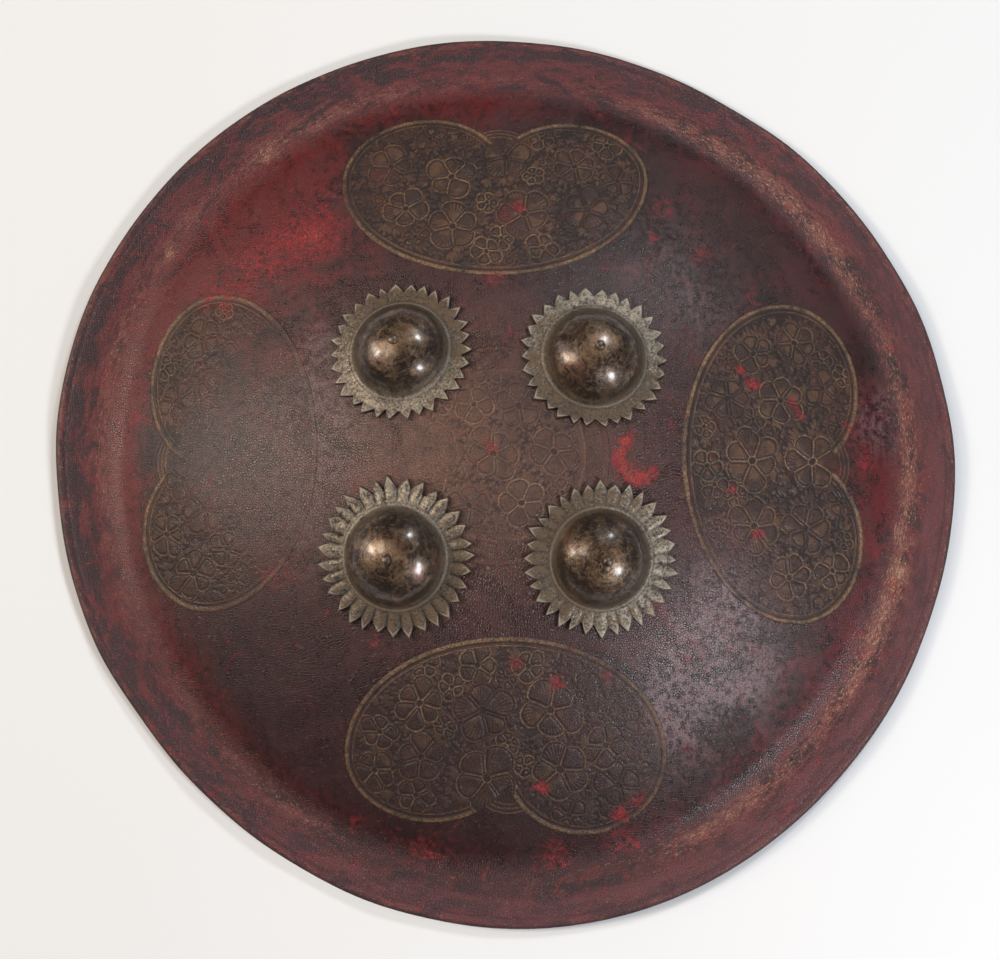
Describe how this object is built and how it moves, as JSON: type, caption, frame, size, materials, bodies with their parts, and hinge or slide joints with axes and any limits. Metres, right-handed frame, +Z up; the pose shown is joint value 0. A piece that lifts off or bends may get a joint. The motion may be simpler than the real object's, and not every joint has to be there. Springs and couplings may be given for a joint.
{
  "type": "round hide shield",
  "caption": "Round moulded hide shield with a domed lacquered face, hollow saw-toothed iron bosses, stamped gilt flower panels and leather hand straps behind.",
  "frame": {"origin": "on the ground under the middle of the shield's outline, with the shield lying on its brim and the bosses up", "axes": "+Z up, out through the crown of the dome; +Y towards the pair of upper bosses; +X to the right of them"},
  "size_m": [0.5228, 0.52, 0.0918],
  "materials": {
    "lacquered_hide": "dark red-brown lacquer over moulded hide, pebbled grain, half gloss, worn at the brim",
    "boss_iron": "brown patinated beaten iron, polished on the domes and worn grey on the flanges",
    "strap_leather": "plain dark brown leather, matt, darkened by handling"
  },
  "bodies": {
    "root": {"hide_shell": "lacquered_hide", "boss_upper_left": "boss_iron", "boss_upper_right": "boss_iron", "boss_lower_left": "boss_iron", "boss_lower_right": "boss_iron", "bolt_upper_left": "boss_iron", "bolt_upper_right": "boss_iron", "bolt_lower_left": "boss_iron", "bolt_lower_right": "boss_iron", "rove_upper_left": "boss_iron", "rove_upper_right": "boss_iron", "rove_lower_left": "boss_iron", "rove_lower_right": "boss_iron", "grip_strap_left": "strap_leather", "grip_strap_right": "strap_leather"}
  },
  "joints": []
}
